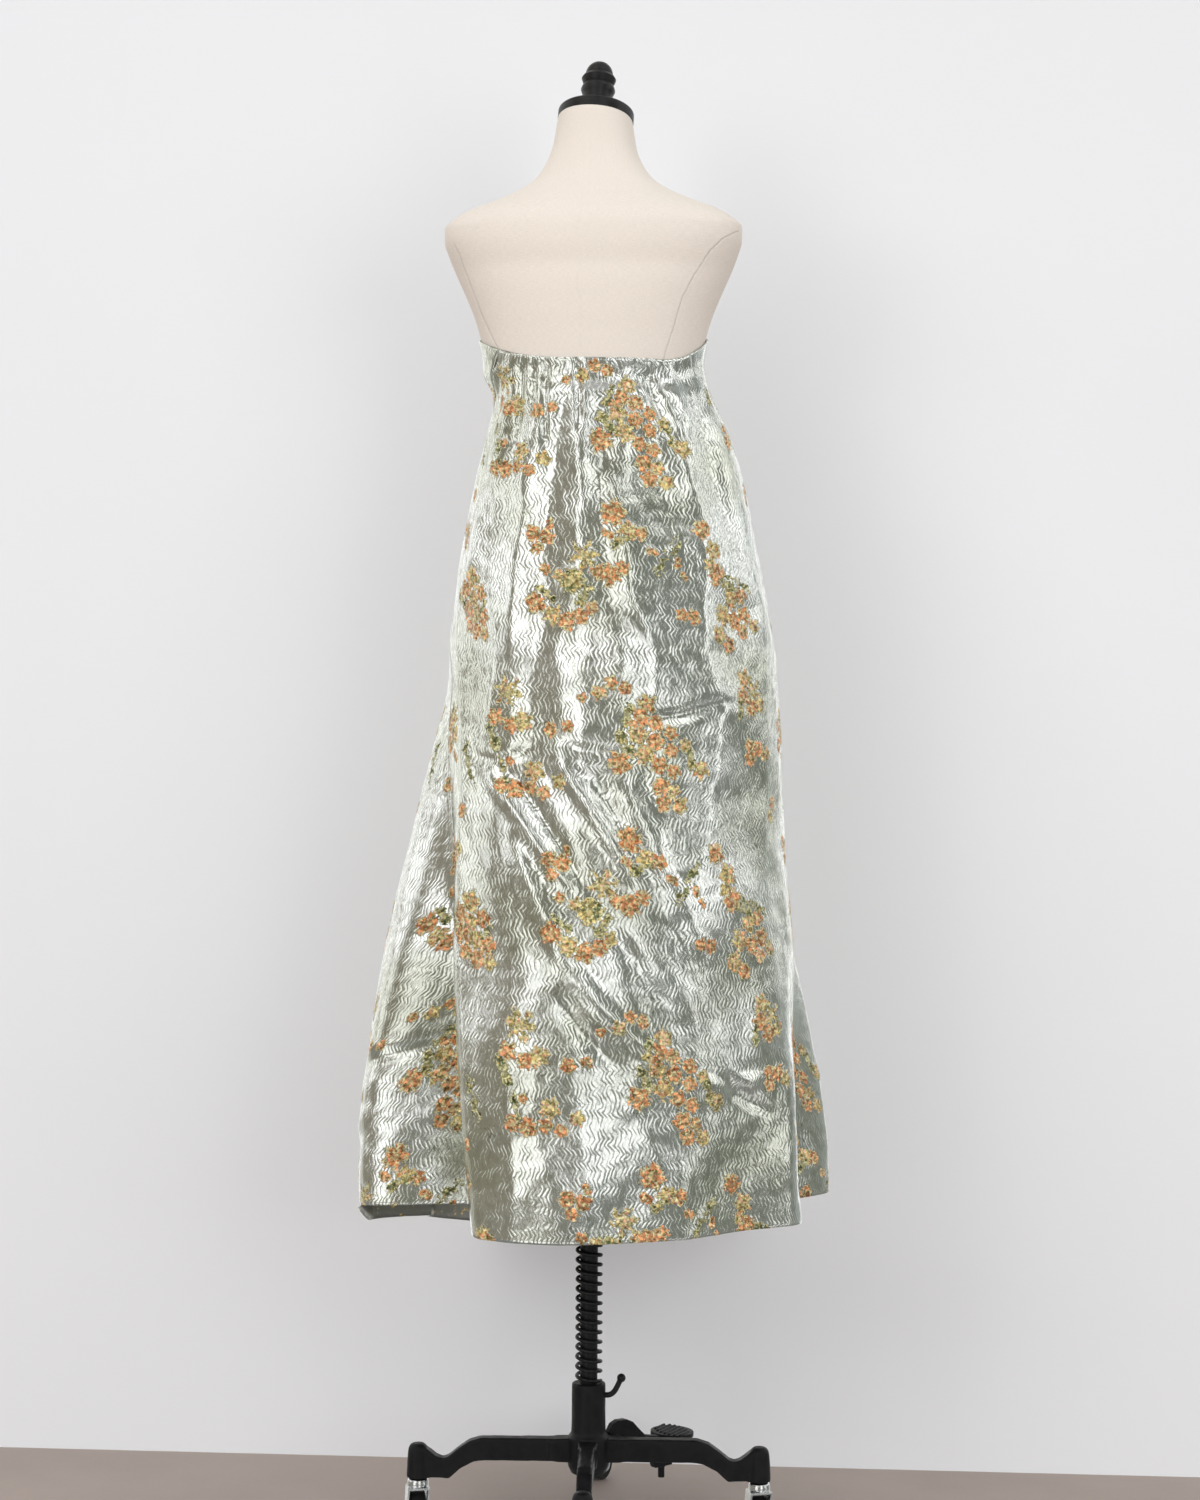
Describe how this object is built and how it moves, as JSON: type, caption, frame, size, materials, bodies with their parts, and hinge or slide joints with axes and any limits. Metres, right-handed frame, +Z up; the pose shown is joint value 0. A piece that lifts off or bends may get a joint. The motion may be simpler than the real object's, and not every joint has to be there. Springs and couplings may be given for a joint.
{
  "type": "strapless midi dress on a limbless dress form and wheeled stand",
  "caption": "Strapless midi dress with a gathered back falling in soft folds, worn by a limbless dress form that slides on a sprung pole above a wheeled iron base.",
  "frame": {"origin": "on the floor, on the axis of the pole", "axes": "+Z up the pole; the back of the dress faces -Y; +X is to the right of someone who looks at that back"},
  "size_m": [0.6034, 0.607, 1.9148],
  "materials": {
    "brocade": "crinkled metallic jacquard, silver and sage with raised orange, gold and green flowers",
    "linen": "plain natural linen stretched over the form",
    "lacquered_wood": "turned and lacquered black, semi-gloss",
    "black_steel": "black enamel, satin",
    "cast_iron": "cast iron painted black, satin, worn at the edges",
    "chrome_plate": "pressed steel, chrome plated",
    "black_rubber": "solid black tread, matte"
  },
  "bodies": {
    "stand": {"hub": "cast_iron", "leg_1": "cast_iron", "leg_2": "cast_iron", "leg_3": "cast_iron", "leg_4": "cast_iron", "pole": "black_steel", "spring": "black_steel"},
    "form": {"torso": "linen", "neck_cap": "lacquered_wood", "finial": "lacquered_wood", "form_sleeve": "black_steel", "back_panel": "brocade", "front_bodice": "brocade", "front_skirt": "brocade"},
    "caster_1": {"caster_fork_1": "chrome_plate"},
    "wheel_1": {"caster_wheel_1": "black_rubber"},
    "caster_2": {"caster_fork_2": "chrome_plate"},
    "wheel_2": {"caster_wheel_2": "black_rubber"},
    "caster_3": {"caster_fork_3": "chrome_plate"},
    "wheel_3": {"caster_wheel_3": "black_rubber"},
    "caster_4": {"caster_fork_4": "chrome_plate"},
    "wheel_4": {"caster_wheel_4": "black_rubber"},
    "lever": {"lock_lever": "black_steel"},
    "pedal": {"foot_pedal": "cast_iron"}
  },
  "joints": [
    {"name": "form_slide", "type": "slide", "parent": "stand", "child": "form", "axis": [0, 0, 1], "range_m": [-0.24, 0], "deforming": ["spring"]},
    {"name": "caster_1_swivel", "type": "hinge", "parent": "stand", "child": "caster_1", "pos_m": [0.01046, -0.22175, 0.06], "axis": [0, 0, 1], "continuous": true},
    {"name": "caster_1_wheel", "type": "hinge", "parent": "caster_1", "child": "wheel_1", "pos_m": [0.00695, -0.21028, 0.021], "axis": [-0.9563, -0.2924, 0], "continuous": true},
    {"name": "caster_2_swivel", "type": "hinge", "parent": "stand", "child": "caster_2", "pos_m": [0.22175, 0.01046, 0.06], "axis": [0, 0, 1], "continuous": true},
    {"name": "caster_2_wheel", "type": "hinge", "parent": "caster_2", "child": "wheel_2", "pos_m": [0.21824, 0.02193, 0.021], "axis": [-0.9563, -0.2924, 0], "continuous": true},
    {"name": "caster_3_swivel", "type": "hinge", "parent": "stand", "child": "caster_3", "pos_m": [-0.01046, 0.22175, 0.06], "axis": [0, 0, 1], "continuous": true},
    {"name": "caster_3_wheel", "type": "hinge", "parent": "caster_3", "child": "wheel_3", "pos_m": [-0.00446, 0.23215, 0.021], "axis": [-0.866, 0.5, 0], "continuous": true},
    {"name": "caster_4_swivel", "type": "hinge", "parent": "stand", "child": "caster_4", "pos_m": [-0.22175, -0.01046, 0.06], "axis": [0, 0, 1], "continuous": true},
    {"name": "caster_4_wheel", "type": "hinge", "parent": "caster_4", "child": "wheel_4", "pos_m": [-0.22506, 0.00108, 0.021], "axis": [-0.9613, -0.2756, 0], "continuous": true},
    {"name": "pedal_hinge", "type": "hinge", "parent": "stand", "child": "pedal", "pos_m": [0.02843, 0.02814, 0.105], "axis": [-0.7034, 0.7108, 0], "range_deg": [0, 14], "stiffness_Nm_per_rad": 4, "springref_deg": -17.19},
    {"name": "lever_turn", "type": "hinge", "parent": "stand", "child": "lever", "pos_m": [0, 0, 0.172], "axis": [1, 0, 0], "range_deg": [-60, 60]}
  ]
}
